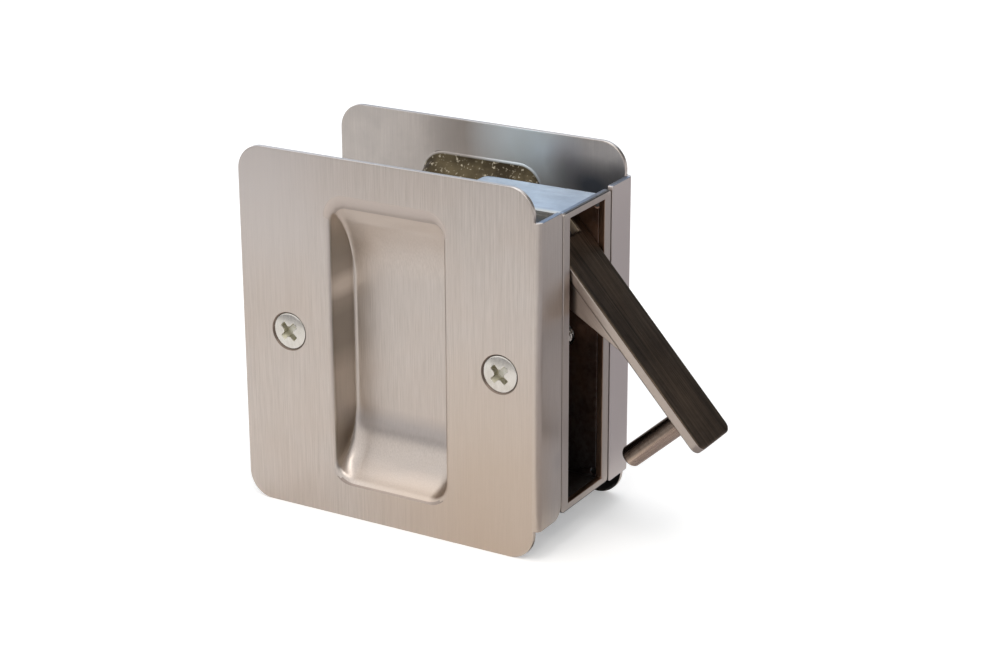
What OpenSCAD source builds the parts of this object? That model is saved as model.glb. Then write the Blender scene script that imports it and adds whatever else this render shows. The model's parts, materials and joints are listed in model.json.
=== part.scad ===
// Pocket door pull set: two cupped face plates, a case in the door edge and a swing-out edge pull.
// The origin is the middle of the door edge: +X leaves the edge, -Y is the screw side, +Z is up.

/* [Face plates] */
// Width of a face plate, from its back edge to the door edge
plate_w = 63.5; // [60:0.5:80]
// Height of a face plate
plate_h = 69.85; // [66:0.05:90]
// Distance over the outside of both plates
over_plates = 35; // [33:0.5:48]
// Thickness of the plate sheet
plate_t = 1; // [0.7:0.1:1.5]
// Radius of the plate corners
plate_corner_r = 5; // [2:0.5:8]
// Width of the flange that covers the door edge, measured from the plate's outer face
flange_w = 8.2; // [7:0.1:9]
// Outer radius of the bend between plate and flange
bend_r = 1.2; // [1.2:0.1:2]
// Radius of the lower free corner of the front flange
flange_corner_r = 2.6; // [0.5:0.1:3]
// Radius of the lower free corner of the rear flange
rear_corner_r = 0.6; // [0.4:0.1:3]
// Length by which the flange passes the edge frame at each end
flange_over = 0.4; // [0.3:0.1:1.5]
// Height of the relief cut at each end of the bend
relief_h = 0.7; // [0.4:0.1:1.5]
// Distance by which a plate's end tabs pass the start of the bend
tab_reach = 0.1; // [0.1:0.05:0.6]

/* [Finger cups] */
// Width of a cup between its side walls
cup_w = 24; // [20:0.5:28]
// Height of a cup's mouth
cup_h = 54.8; // [48:0.2:56]
// Distance of the cup's centre below the plate's centre
cup_drop = 0.7; // [0:0.1:1]
// Depth of a cup
cup_depth = 7.3; // [6:0.1:8]
// Plan radius of the corners at the cup's mouth
cup_corner_r = 4.5; // [3.5:0.1:6]
// Plan radius of the upper corners at the cup's floor
cup_deep_r = 1; // [0.8:0.1:1.5]
// Plan radius of the lower corners at the cup's floor
cup_scoop_r = 3.4; // [2:0.1:4.5]
// Radius that blends the plate into the cup's side walls
cup_blend_r = 1.2; // [0.8:0.1:1.6]
// Radius of the same blend on the back of the sheet
cup_back_r = 0.3; // [0.2:0.1:0.6]
// Radius between the side walls and the floor
cup_floor_r = 0.8; // [0.6:0.1:1.2]
// Draft of the side walls over their height
cup_draft = 0.3; // [0.1:0.1:0.5]
// Radius of the long curve at the top of the cup
cup_top_r = 19.5; // [16:0.5:22]
// Radius of the scoop at the bottom of the cup
cup_low_r = 13.6; // [11:0.2:16]
// Length by which the plate rolls softly into the top of the cup
cup_soft = 1.4; // [0.8:0.1:1.6]

/* [Edge frame and case] */
// Height of the edge frame
frame_h = 57.2; // [52:0.2:60]
// Thickness of the edge frame
frame_t = 1.3; // [1:0.1:1.8]
// Corner radius of the edge frame
frame_corner_r = 0.8; // [0.4:0.1:1.5]
// Width of the frame's end bars
frame_end = 1.4; // [1:0.1:2]
// Running gap between the frame and the flanges
frame_gap = 0.3; // [0.2:0.05:0.5]
// Thickness of the case sheet
case_t = 0.7; // [0.5:0.1:1]
// Depth of the case behind the door edge
case_depth = 25.3; // [23:0.1:30]
// Outer radius of the case's back bends
case_bend_r = 1.2; // [1.1:0.1:2]
// Gap between the case and the backs of the cups
case_gap = 2; // [1.2:0.1:2.4]
// Width of the lips that carry the frame
lip_w = 1.4; // [0.8:0.1:1.5]
// Radius of the relief hole at each end of a lip
lip_relief_r = 0.8; // [0.6:0.05:1]
// Length of the tabs that hold the case ends
tab_len = 4; // [2:0.5:5]
// Length of the stop tabs behind the open pull
stop_h = 2; // [1.5:0.1:2.2]
// Reach of the stop tabs into the case
stop_reach = 1.7; // [1.2:0.1:2.2]

/* [Edge pull] */
// Angle of the pull from closed to fully open
open_angle = 42; // [36:1:46]
// Pivot distance behind the pull's face
pivot_in = 5.4; // [5.2:0.1:6]
// Pivot distance below the top of the frame opening
pivot_down = 11.5; // [10.5:0.1:12]
// Thickness of the pull bar
pull_t = 2; // [1.6:0.1:2.2]
// Side gap between the pull bar and the frame opening
pull_gap = 0.5; // [0.3:0.05:0.7]
// Gap under the closed pull bar
tip_gap = 1.3; // [0.5:0.1:1.5]
// Clearance of the pull's swinging top under the case top
swing_gap = 0.45; // [0.2:0.05:0.5]
// Corner radius of the pull's lower end
pull_corner_r = 1.6; // [0.8:0.1:2.5]
// Edge radius of the pull bar
pull_edge_r = 0.5; // [0.3:0.1:0.7]
// Distance of a hinge cheek outside the notch in the pull's top end
notch_step = 0.1; // [0.05:0.05:0.4]
// Height of the notch floor above the pivot
notch_up = 3.2; // [3.2:0.1:4]
// Thickness of one hinge cheek
cheek_t = 1.5; // [1.2:0.1:1.5]
// Radius of the cheek round the pin
cheek_r = 2.7; // [2.4:0.1:3]
// Distance from the pivot to the lower end of the cheek
cheek_low = 21; // [16:0.5:24]
// Distance from the pivot to the upper end of the cheek
cheek_high = 6.5; // [5.5:0.1:6.7]

/* [Pull stud and catch] */
// Diameter of the stud
stud_d = 4.2; // [3.6:0.1:4.6]
// Length of the stud behind the bar
stud_len = 16.1; // [13:0.1:17]
// Distance from the stud's axis to the lower end of the bar
stud_up = 6.4; // [5:0.1:9]
// Radius of the stud's domed end
stud_dome_r = 3.2; // [2.6:0.1:6]
// Diameter of the tenon that holds the stud
tenon_d = 3; // [2:0.1:3.2]
// Length of the tenon that holds the stud
tenon_len = 1.3; // [0.8:0.1:1.4]
// Thickness of the catch clip
clip_t = 0.5; // [0.3:0.05:0.6]
// Height of the clip's arms
clip_h = 5; // [4:0.1:6]
// Length of the clip's arms
clip_len = 11; // [9:0.1:12]
// Clearance between the clip and the stud
clip_gap = 0.25; // [0.15:0.05:0.4]
// Distance of each rivet from the stud's axis
rivet_off = 4.7; // [4.5:0.1:4.9]
// Diameter of a rivet shank
rivet_d = 1.9; // [1.5:0.1:2]
// Diameter of a rivet head
rivet_head_d = 3.2; // [2.6:0.1:3.4]
// Height of a rivet head
rivet_head_h = 0.7; // [0.5:0.1:1]
// Diameter of the buffer that stops the closing stud
buffer_d = 4; // [3.4:0.1:4.2]
// Diameter of the buffer's neck
buffer_neck_d = 2.4; // [2:0.1:2.6]
// Clearance of a seated piece
seat_gap = 0.3; // [0.1:0.05:0.4]

/* [Pivot and spring] */
// Diameter of the pivot pin
pin_d = 2.5; // [2:0.1:2.8]
// Radial running clearance on the pivot pin
pin_fit = 0.05; // [0.02:0.01:0.08]
// Diameter of the pin's heads
pin_head_d = 4.4; // [3.6:0.1:5]
// Height of the pin's heads
pin_head_h = 0.8; // [0.5:0.1:1.2]
// Outer diameter of the spacing washers
washer_d = 5.2; // [4.4:0.1:5.6]
// Thickness of the spacing washers
washer_t = 1.2; // [0.8:0.1:1.6]
// Face clearance of flat pieces that run on each other
face_gap = 0.05; // [0.03:0.01:0.1]
// Diameter of the spring wire
wire_d = 0.8; // [0.6:0.05:0.8]
// Least gap between the turns of the spring
turn_gap = 0.05; // [0.03:0.01:0.2]
// Gap between the spring coil and the hinge cheeks
coil_gap = 0.7; // [0.5:0.1:1]
// Length of the spring leg on the pull
leg_len = 12; // [8:0.5:16]
// Height below the pivot at which the other leg meets the case back
leg_drop = 9.7; // [6:0.1:12]

/* [Screws] */
// Distance from the door edge to the near screw
screw_near = 8.1; // [7:0.1:9]
// Distance from the door edge to the far screw
screw_far = 53.3; // [52.5:0.1:54]
// Diameter of the screw thread
screw_d = 3.5; // [3:0.1:3.5]
// Diameter of the screw head
screw_head_d = 6.9; // [6:0.1:7.2]
// Included angle of the countersunk head
head_angle = 82; // [80:1:90]
// Depth of the head's edge below the plate
head_sink = 0.25; // [0.1:0.05:0.5]
// Height of the head's crown
crown_h = 0.4; // [0.2:0.05:0.6]
// Width of the cross recess
recess_w = 1.1; // [0.6:0.1:1.2]
// Length of the cross recess
recess_len = 4.2; // [3:0.1:4.6]
// Depth of the cross recess
recess_depth = 1.6; // [1:0.1:1.8]
// Turn of the cross recess where the screws are tight
recess_turn = 45; // [0:5:90]
// Length of thread inside a post
thread_grip = 4; // [3:0.5:6]
// Diameter of a threaded post
post_d = 6.4; // [5.6:0.1:7]
// Radial clearance of the thread in its post
thread_fit = 0.06; // [0.04:0.01:0.1]
// Radial clearance of the screw in plate and case holes
hole_fit = 0.35; // [0.2:0.05:0.5]

/* [Hidden] */
$fn = 64;

// Length by which a cutter passes the face it cuts, and by which shapes of one body overlap
over = 1;

nickel = "#b5aba2";
zinc = "#aab6c4";
dark_nickel = "#3c342f";
steel = "#c9c6be";
rubber = "#22211f";
nylon = "#d8d4c6";

// Plates
half_over = over_plates / 2;
plate_in = half_over - plate_t;
flange_h = frame_h + 2 * flange_over;
flange_in = half_over - flange_w;
bend_in_r = bend_r - plate_t;
tab_x = tab_reach - bend_r;

// Cups
cup_top = cup_h / 2 - cup_drop;
cup_low = -cup_h / 2 - cup_drop;
cup_over = 0.4;
cup_arc_steps = 6;
cup_level_steps = 9;

// Frame and case
frame_w = 2 * (flange_in - frame_gap);
case_half = half_over - cup_depth - plate_t - case_gap;
opening_w = 2 * (case_half - case_t);
opening_h = frame_h - 2 * frame_end;
case_h = opening_h + 2 * case_t;
case_back = -case_depth;
case_back_in = case_back + case_t;
lip_h = opening_h - 4 * lip_relief_r;
lip_relief_z = lip_h / 2 + 0.6 * lip_relief_r;
tab_places = [-case_depth * 0.25, -case_depth * 0.7];

// Pull, in its own frame: the pivot is at the origin and the closed bar stands upright
pivot_x = -pivot_in;
pivot_z = opening_h / 2 - pivot_down;
pull_w = opening_w - 2 * pull_gap;
pull_back = pivot_in - pull_t;
pull_low = -(pivot_z + opening_h / 2 - tip_gap);
pull_high = sqrt(pow(pivot_down - swing_gap, 2) - pow(pivot_in, 2));
cheek_out = opening_w / 2 - washer_t - 2 * face_gap;
cheek_in = cheek_out - cheek_t;
notch_w = 2 * (cheek_in - notch_step);
bore_r = pin_d / 2 + pin_fit;
weld = 0.2;
stop_x = pull_back - face_gap - case_t;

// Stud and catch
stud_z = pull_low + stud_up;
stud_end = pull_back - stud_len;
catch_z = pivot_z + stud_z;
clip_in = stud_d / 2 + clip_gap;
buffer_end = pivot_x + stud_end - seat_gap;

// Spring
coil_r = pull_back - seat_gap - wire_d / 2;
spring_w = 2 * (cheek_in - coil_gap) - wire_d;
spring_turns = floor(spring_w / (wire_d + turn_gap)) - 1;
coil_steps = 16;
wire_sides = 6;
leg_end = [case_back_in + wire_d / 2 + seat_gap - pivot_x, -leg_drop];

// Screws
post_start = case_half + seat_gap;
screw_tip = post_start + thread_grip;
head_slope = tan(head_angle / 2);
sink_r = screw_head_d / 2 + head_sink * head_slope + face_gap;
hole_r = screw_d / 2 + hole_fit;
sink_depth = (sink_r - hole_r) / head_slope;
screw_places = [-screw_near, -screw_far];

// Distance that a cup wall has moved inwards at a depth, with an edge blend, a draft and a floor radius
function wall_inset(depth, edge_r, floor_r, draft) =
    depth < edge_r ? sqrt(pow(edge_r, 2) - pow(edge_r - depth, 2)) :
    depth < cup_depth - floor_r && draft > 0 ? edge_r + draft * (depth - edge_r) / (cup_depth - edge_r - floor_r) :
    edge_r + draft + floor_r - sqrt(max(0, pow(floor_r, 2) - pow(depth - cup_depth + floor_r, 2)));

// Length of the curve at an end of the cup, from a depth down to the floor
function end_run(depth, r) = sqrt(pow(r, 2) - pow(r - cup_depth + depth, 2));

// Plan radius of a cup's corner at a depth, easing from the mouth's to the floor's
function corner_r(depth, deep_r) = deep_r + (cup_corner_r - deep_r) * pow(1 - depth / cup_depth, 3);

// One rounded outline of a cup at a depth, skin thick outside the visible face
function cup_ring(depth, skin, edge_r) =
    let (
        side = wall_inset(depth, edge_r, cup_floor_r + skin, cup_draft),
        soft = skin > 0 ? 0 : cup_soft * pow(max(0, 1 - depth / cup_blend_r), 2),
        half = cup_w / 2 + skin + edge_r - side,
        up_r = skin + corner_r(depth, cup_deep_r),
        low_r = skin + corner_r(depth, cup_scoop_r),
        top = cup_top - end_run(0, cup_top_r) + end_run(depth, cup_top_r + skin) + soft,
        base = cup_low + end_run(0, cup_low_r) - end_run(depth, cup_low_r + skin) - soft / 4,
        corners = [
            [half - up_r, top - up_r, up_r, 0],
            [up_r - half, top - up_r, up_r, 90],
            [low_r - half, base + low_r, low_r, 180],
            [half - low_r, base + low_r, low_r, 270]
        ]
    )
    [for (c = corners, i = [0:cup_arc_steps]) let (a = c[3] + 90 * i / cup_arc_steps)
        [c[0] + c[2] * cos(a) - plate_w / 2, -half_over + skin + depth, c[1] + c[2] * sin(a)]];

// Depths of the outlines: the edge blend, then levels that close up towards the floor
function cup_depths(edge_r) =
    concat(
        [for (a = [15, 40, 65, 90]) edge_r * (1 - cos(a))],
        [for (i = [1:cup_level_steps]) cup_depth - (cup_depth - edge_r) * pow(1 - i / cup_level_steps, 2)]
    );

// Solid between the cup's mouth and its floor; the mouth is drawn out by cup_over
module cup_solid(skin) {
    edge_r = skin > 0 ? cup_back_r : cup_blend_r;
    depths = cup_depths(edge_r);
    mouth = [for (p = cup_ring(depths[0], skin, edge_r)) [p[0], -half_over + skin - cup_over, p[2]]];
    rings = concat([mouth], [for (d = depths) cup_ring(d, skin, edge_r)]);
    n = len(mouth);
    last = len(rings) - 1;
    polyhedron(
        points = [for (ring = rings, p = ring) p],
        faces = concat(
            [[for (i = [0:n - 1]) n - 1 - i]],
            [[for (i = [0:n - 1]) last * n + i]],
            [for (k = [0:last - 1], i = [0:n - 1]) let (j = (i + 1) % n)
                [k * n + i, k * n + j, (k + 1) * n + j, (k + 1) * n + i]]
        )
    );
}

module rounded_rect(w, h, r) {
    square([w - 2 * r, h], center = true);
    square([w, h - 2 * r], center = true);
    for (x = [-1, 1], y = [-1, 1])
        translate([x * (w / 2 - r), y * (h / 2 - r)]) circle(r);
}

// Stands a YZ outline up and thickens it along +X
module along_x(x, length) {
    translate([x, 0, 0]) rotate([90, 0, 90]) linear_extrude(length) children();
}

// Turns a shape about +Z into a shape about +Y
module along_y(x, y, z) {
    translate([x, y, z]) rotate([-90, 0, 0]) children();
}

// Bent corner strip of a plate, seen along the door edge
module flange_section() {
    difference() {
        translate([-bend_r, -half_over]) square([bend_r, flange_w]);
        translate([-bend_r - over, -plate_in]) square([over + bend_r - plate_t, flange_w]);
        translate([-bend_r, -half_over]) square(bend_r);
    }
    intersection() {
        translate([-bend_r, -half_over]) square(bend_r);
        translate([-bend_r, bend_r - half_over]) difference() {
            circle(bend_r);
            circle(bend_in_r);
        }
    }
}

module flange(free_r) {
    difference() {
        translate([0, 0, -flange_h / 2]) linear_extrude(flange_h) flange_section();
        along_x(-plate_t - over, plate_t + 2 * over)
            translate([-flange_in - free_r, -flange_h / 2 + free_r]) difference() {
                translate([0, -free_r - over]) square([free_r + over, free_r + over]);
                circle(free_r);
            }
    }
}

// A face plate without screw holes, screw side
module bare_plate(free_r) {
    difference() {
        union() {
            difference() {
                along_y((tab_x - plate_w) / 2, -half_over, 0)
                    linear_extrude(plate_t) rounded_rect(plate_w + tab_x, plate_h, plate_corner_r);
                translate([-bend_r, -half_over - over, -flange_h / 2 - relief_h])
                    cube([bend_r + over, plate_t + 2 * over, flange_h + 2 * relief_h]);
            }
            flange(free_r);
            cup_solid(plate_t);
        }
        cup_solid(0);
    }
}

module front_plate() {
    color(nickel) difference() {
        union() {
            bare_plate(flange_corner_r);
            for (x = screw_places)
                along_y(x, -plate_in, 0)
                    cylinder(r1 = sink_r + plate_t / 2, r2 = hole_r + plate_t / 2, h = sink_depth);
        }
        for (x = screw_places) {
            along_y(x, -half_over - over, 0)
                cylinder(r1 = sink_r + over * head_slope, r2 = hole_r, h = over + sink_depth);
            along_y(x, -half_over, 0)
                cylinder(r = hole_r, h = plate_t + sink_depth + over);
        }
    }
}

module rear_plate() {
    color(nickel) mirror([0, 1, 0]) bare_plate(rear_corner_r);
}

module edge_frame() {
    color(nickel) along_x(-frame_t, frame_t) difference() {
        rounded_rect(frame_w, frame_h, frame_corner_r);
        rounded_rect(opening_w, opening_h, frame_corner_r / 2);
    }
}

// Outline of the channel from above, with round back corners
module channel_outline(back, half, r, front) {
    translate([back + r, -half]) square([front - back - r, 2 * half]);
    translate([back, -half + r]) square([r + over, 2 * (half - r)]);
    for (s = [-1, 1])
        translate([back + r, s * (half - r)]) circle(r);
}

// Places a shape drawn round the pivot at the open pull
module at_open_pull() {
    translate([pivot_x, 0, pivot_z]) rotate([0, -open_angle, 0]) children();
}

// Stop tabs that the open pull leans on, bent in from the case walls
module stop_tabs() {
    at_open_pull() for (s = [0, 1]) mirror([0, s, 0])
        translate([stop_x, opening_w / 2 - stop_reach, pull_high - stop_h])
            cube([case_t, stop_reach + case_t / 2, stop_h]);
}

// Windows that the stop tabs were cut from
module stop_windows() {
    at_open_pull() for (s = [0, 1]) mirror([0, s, 0])
        translate([stop_x - stop_reach, opening_w / 2 - over, pull_high - stop_h])
            cube([stop_reach, case_t + 2 * over, stop_h]);
}

// Round holes along the case's thickness
module case_drill(x, z, r) {
    along_y(x, -case_half - over, z) cylinder(r = r, h = 2 * (case_half + over));
}

// Round holes through the case's back wall
module back_drill(z, d) {
    along_x(case_back - over, case_t + 2 * over) translate([0, z]) circle(d = d);
}

module case_channel() {
    color(zinc) difference() {
        union() {
            translate([0, 0, -case_h / 2]) linear_extrude(case_h) difference() {
                channel_outline(case_back, case_half, case_bend_r, -frame_t);
                channel_outline(case_back_in, case_half - case_t, case_bend_r - case_t, over);
            }
            for (s = [-1, 1])
                translate([-frame_t - case_t, s * (case_half + lip_w / 2) - lip_w / 2, -lip_h / 2])
                    cube([case_t, lip_w, lip_h]);
            stop_tabs();
        }
        stop_windows();
        case_drill(pivot_x, pivot_z, pin_d / 2 + face_gap);
        case_drill(-screw_near, 0, hole_r);
        for (s = [-1, 1])
            case_drill(-frame_t - case_t / 2, s * lip_relief_z, lip_relief_r);
        for (s = [0, 1], x = tab_places) mirror([0, 0, s])
            translate([x - tab_len / 2 - face_gap, -case_half - over, opening_h / 2 - face_gap])
                cube([tab_len + 2 * face_gap, 2 * (case_half + over), case_t + over]);
        for (s = [-1, 1])
            back_drill(catch_z + s * rivet_off, rivet_d + 2 * face_gap);
        back_drill(catch_z, buffer_neck_d + 2 * face_gap);
    }
}

// End of the case, held in the channel by tabs through its walls
module case_end() {
    translate([case_back_in, -opening_w / 2, opening_h / 2])
        cube([case_depth - case_t - frame_t, opening_w, case_t]);
    for (x = tab_places)
        translate([x - tab_len / 2, -case_half, opening_h / 2])
            cube([tab_len, 2 * case_half, case_t]);
}

module case_top() {
    color(zinc) case_end();
}

module case_bottom() {
    color(zinc) mirror([0, 0, 1]) case_end();
}

// Outline of the bar from the front: round lower corners and a notch in the top end
module pull_outline() {
    difference() {
        union() {
            translate([-pull_w / 2, pull_low + pull_corner_r])
                square([pull_w, pull_high - pull_low - pull_corner_r - pull_edge_r]);
            translate([-pull_w / 2 + pull_corner_r, pull_low])
                square([pull_w - 2 * pull_corner_r, pull_corner_r + over]);
            translate([-pull_w / 2 + pull_edge_r, pull_high - pull_edge_r - over])
                square([pull_w - 2 * pull_edge_r, pull_edge_r + over]);
            for (s = [-1, 1]) {
                translate([s * (pull_w / 2 - pull_corner_r), pull_low + pull_corner_r]) circle(pull_corner_r);
                translate([s * (pull_w / 2 - pull_edge_r), pull_high - pull_edge_r]) circle(pull_edge_r);
            }
        }
        translate([-notch_w / 2, notch_up]) square([notch_w, pull_high]);
    }
}

module pull_bar() {
    intersection() {
        translate([pivot_in - pull_t / 2, 0, pull_low])
            linear_extrude(pull_high - pull_low) rounded_rect(pull_t, pull_w, pull_edge_r);
        along_x(pull_back - over, pull_t + 2 * over) pull_outline();
    }
}

// Hinge cheek: a round boss on the pivot that runs out into the back of the bar
module cheek_outline() {
    low = [pull_back + weld, -cheek_low];
    high = [pull_back + weld, cheek_high];
    low_a = atan2(low[1], low[0]) - acos(cheek_r / norm(low));
    high_a = atan2(high[1], high[0]) + acos(cheek_r / norm(high));
    circle(cheek_r);
    polygon([low, cheek_r * [cos(low_a), sin(low_a)], [0, 0], cheek_r * [cos(high_a), sin(high_a)], high]);
}

module edge_pull() {
    color(dark_nickel) at_open_pull() difference() {
        union() {
            pull_bar();
            for (s = [0, 1]) mirror([0, s, 0])
                translate([0, cheek_out, 0]) rotate([90, 0, 0]) linear_extrude(cheek_t) cheek_outline();
        }
        along_y(0, -cheek_out - over, 0) cylinder(r = bore_r, h = 2 * (cheek_out + over));
        along_x(pull_back - over, tenon_len + over + face_gap)
            translate([0, stud_z]) circle(d = tenon_d + 2 * face_gap);
    }
}

module pull_stud() {
    dome_h = stud_dome_r - sqrt(pow(stud_dome_r, 2) - pow(stud_d / 2, 2));
    color(nickel) at_open_pull()
        translate([pull_back, 0, stud_z]) rotate([0, -90, 0]) rotate_extrude() {
            translate([0, -tenon_len]) square([tenon_d / 2, tenon_len + over]);
            square([stud_d / 2, stud_len - dome_h]);
            intersection() {
                translate([0, stud_len - stud_dome_r]) circle(stud_dome_r);
                translate([0, stud_len - dome_h]) square([stud_d / 2, dome_h]);
            }
        }
}

module pivot_pin() {
    color(steel) along_y(pivot_x, 0, pivot_z) {
        cylinder(d = pin_d, h = 2 * case_half + pin_head_h, center = true);
        for (s = [-1, 1])
            translate([0, 0, s * (case_half + pin_head_h / 2)])
                cylinder(d = pin_head_d, h = pin_head_h, center = true);
    }
}

module pivot_washers() {
    color(nylon) for (s = [-1, 1])
        along_y(pivot_x, s * (cheek_out + face_gap + washer_t / 2), pivot_z) difference() {
            cylinder(d = washer_d, h = washer_t, center = true);
            cylinder(r = bore_r, h = washer_t + 2 * over, center = true);
        }
}

// Wire path round the pivot: the leg on the pull, the coil and the leg on the case back
function spring_path() =
    let (
        first = open_angle,
        last = atan2(leg_end[1], leg_end[0]) + 360 - acos(coil_r / norm(leg_end)) + 360 * spring_turns,
        steps = ceil((last - first) / 360 * coil_steps),
        pull_leg = coil_r * [cos(first), sin(first)] + leg_len * [sin(first), -cos(first)]
    )
    concat(
        [[pull_leg[0], -spring_w / 2, pull_leg[1]]],
        [for (i = [0:steps]) let (a = first + (last - first) * i / steps)
            [coil_r * cos(a), spring_w * (i / steps - 0.5), coil_r * sin(a)]],
        [[leg_end[0], spring_w / 2, leg_end[1]]]
    );

// Round section of the wire at one point of its path
function wire_ring(path, i) =
    let (
        ahead = path[min(i + 1, len(path) - 1)] - path[max(i - 1, 0)],
        t = ahead / norm(ahead),
        side = cross(t, [0, 1, 0]),
        n = side / norm(side),
        b = cross(n, t)
    )
    [for (k = [0:wire_sides - 1]) let (a = 360 * k / wire_sides)
        path[i] + wire_d / 2 * (cos(a) * n + sin(a) * b)];

module return_spring() {
    path = spring_path();
    last = len(path) - 1;
    color(steel) translate([pivot_x, 0, pivot_z]) polyhedron(
        points = [for (i = [0:last], p = wire_ring(path, i)) p],
        faces = concat(
            [[for (k = [0:wire_sides - 1]) k]],
            [[for (k = [0:wire_sides - 1]) (last + 1) * wire_sides - 1 - k]],
            [for (i = [0:last - 1], k = [0:wire_sides - 1]) let (j = (k + 1) % wire_sides)
                [i * wire_sides + j, i * wire_sides + k, (i + 1) * wire_sides + k, (i + 1) * wire_sides + j]]
        )
    );
}

// Arm of the catch clip, seen from above, with a flared mouth
module clip_arm() {
    mouth = case_back_in + clip_len;
    flare = 2 * clip_t;
    polygon([
        [case_back_in, clip_in], [mouth - flare, clip_in], [mouth, clip_in + flare],
        [mouth, clip_in + flare + clip_t], [mouth - flare - clip_t, clip_in + clip_t], [case_back_in, clip_in + clip_t]
    ]);
}

module catch_clip() {
    foot = 2 * rivet_off + rivet_head_d;
    color(steel) difference() {
        union() {
            translate([0, 0, catch_z - clip_h / 2])
                linear_extrude(clip_h) for (s = [0, 1]) mirror([0, s]) clip_arm();
            translate([case_back_in, -clip_in - clip_t, catch_z - foot / 2])
                cube([clip_t, 2 * (clip_in + clip_t), foot]);
        }
        for (s = [-1, 1])
            back_drill(catch_z + s * rivet_off, rivet_d + 2 * face_gap);
        back_drill(catch_z, buffer_neck_d + 2 * face_gap);
    }
}

module catch_rivets() {
    color(steel) for (s = [-1, 1]) {
        z = catch_z + s * rivet_off;
        along_x(case_back - rivet_head_h, rivet_head_h) translate([0, z]) circle(d = rivet_head_d);
        along_x(case_back - rivet_head_h / 2, case_t + clip_t + rivet_head_h) translate([0, z]) circle(d = rivet_d);
        along_x(case_back_in + clip_t, rivet_head_h) translate([0, z]) circle(d = rivet_head_d);
    }
}

module stud_buffer() {
    seat = case_back_in + clip_t;
    color(rubber) {
        along_x(seat, buffer_end - seat) translate([0, catch_z]) circle(d = buffer_d);
        along_x(case_back - rivet_head_h / 2, seat - case_back + rivet_head_h)
            translate([0, catch_z]) circle(d = buffer_neck_d);
        along_x(case_back - rivet_head_h, rivet_head_h) translate([0, catch_z]) circle(d = rivet_head_d);
    }
}

// Cross recess, cut down from the crown of the head
module cross_recess() {
    for (a = [0, 90]) rotate([0, 0, recess_turn + a])
        translate([-recess_len / 2, -recess_w / 2, -crown_h - over])
            cube([recess_len, recess_w, recess_depth + over]);
}

module through_screw() {
    head_r = screw_head_d / 2;
    head_h = (head_r - screw_d / 2) / head_slope;
    crown_r = (pow(head_r, 2) + pow(crown_h, 2)) / (2 * crown_h);
    difference() {
        union() {
            cylinder(r1 = head_r, r2 = screw_d / 2, h = head_h);
            cylinder(d = screw_d, h = screw_tip + half_over - head_sink);
            intersection() {
                translate([0, 0, crown_r - crown_h]) sphere(crown_r);
                translate([0, 0, -crown_h]) cylinder(r = head_r, h = crown_h);
            }
        }
        cross_recess();
    }
}

module through_screws() {
    color(steel) for (x = screw_places)
        along_y(x, -half_over + head_sink, 0) through_screw();
}

module threaded_posts() {
    color(steel) for (x = screw_places)
        along_y(x, post_start, 0) difference() {
            cylinder(d = post_d, h = plate_in - post_start);
            translate([0, 0, -over]) cylinder(r = screw_d / 2 + thread_fit, h = plate_in - post_start);
        }
}

front_plate();
rear_plate();
edge_frame();
case_channel();
case_top();
case_bottom();
edge_pull();
pull_stud();
pivot_pin();
pivot_washers();
return_spring();
catch_clip();
catch_rivets();
stud_buffer();
through_screws();
threaded_posts();
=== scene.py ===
import json
import math
import bmesh
import bpy
from mathutils import Matrix, Vector


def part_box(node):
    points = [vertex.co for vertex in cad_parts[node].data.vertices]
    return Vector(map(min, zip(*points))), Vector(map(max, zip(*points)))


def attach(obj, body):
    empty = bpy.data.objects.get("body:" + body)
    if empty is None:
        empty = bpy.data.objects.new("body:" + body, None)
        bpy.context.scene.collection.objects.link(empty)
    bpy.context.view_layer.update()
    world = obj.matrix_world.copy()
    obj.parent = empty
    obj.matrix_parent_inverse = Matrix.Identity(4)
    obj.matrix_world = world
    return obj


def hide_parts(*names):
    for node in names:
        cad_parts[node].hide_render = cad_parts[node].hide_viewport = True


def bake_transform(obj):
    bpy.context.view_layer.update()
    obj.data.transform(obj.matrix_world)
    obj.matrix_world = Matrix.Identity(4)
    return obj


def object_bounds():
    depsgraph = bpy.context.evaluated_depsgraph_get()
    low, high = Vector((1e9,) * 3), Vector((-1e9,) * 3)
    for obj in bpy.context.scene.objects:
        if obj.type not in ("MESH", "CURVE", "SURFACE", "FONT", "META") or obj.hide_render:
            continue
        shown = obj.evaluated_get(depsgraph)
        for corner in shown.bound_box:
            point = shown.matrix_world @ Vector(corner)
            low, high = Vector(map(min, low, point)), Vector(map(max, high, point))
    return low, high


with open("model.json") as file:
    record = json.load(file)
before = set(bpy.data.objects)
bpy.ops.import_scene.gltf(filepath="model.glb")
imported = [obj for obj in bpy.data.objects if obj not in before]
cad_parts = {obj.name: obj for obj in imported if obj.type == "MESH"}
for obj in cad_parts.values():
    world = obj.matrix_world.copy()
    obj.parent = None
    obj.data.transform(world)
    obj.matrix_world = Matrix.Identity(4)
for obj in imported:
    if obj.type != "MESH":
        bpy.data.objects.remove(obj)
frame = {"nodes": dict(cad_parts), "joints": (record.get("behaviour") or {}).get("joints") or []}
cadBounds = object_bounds()
scene = bpy.context.scene
mm = 0.001  # forms below are in mm, Blender's lengths in metres
print("frame loaded:", len(frame["nodes"]), "nodes")


def boxMm(node):
    low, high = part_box(node)
    return low / mm, high / mm


def linear(red, green, blue):  # a screen colour, 0 to 255, as a socket's linear colour
    shares = [v / 255 for v in (red, green, blue)]
    straight = [v / 12.92 if v <= 0.04045 else ((v + 0.055) / 1.055) ** 2.4 for v in shares]
    return tuple(straight) + (1.0,)


# node helpers
def addNode(tree, kind, inputs=None, **settings):
    node = tree.nodes.new(kind)
    for key, value in settings.items():
        setattr(node, key, value)
    for key, value in (inputs or {}).items():
        if isinstance(value, bpy.types.NodeSocket):
            tree.links.new(value, node.inputs[key])
        else:
            node.inputs[key].default_value = value
    return node


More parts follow.
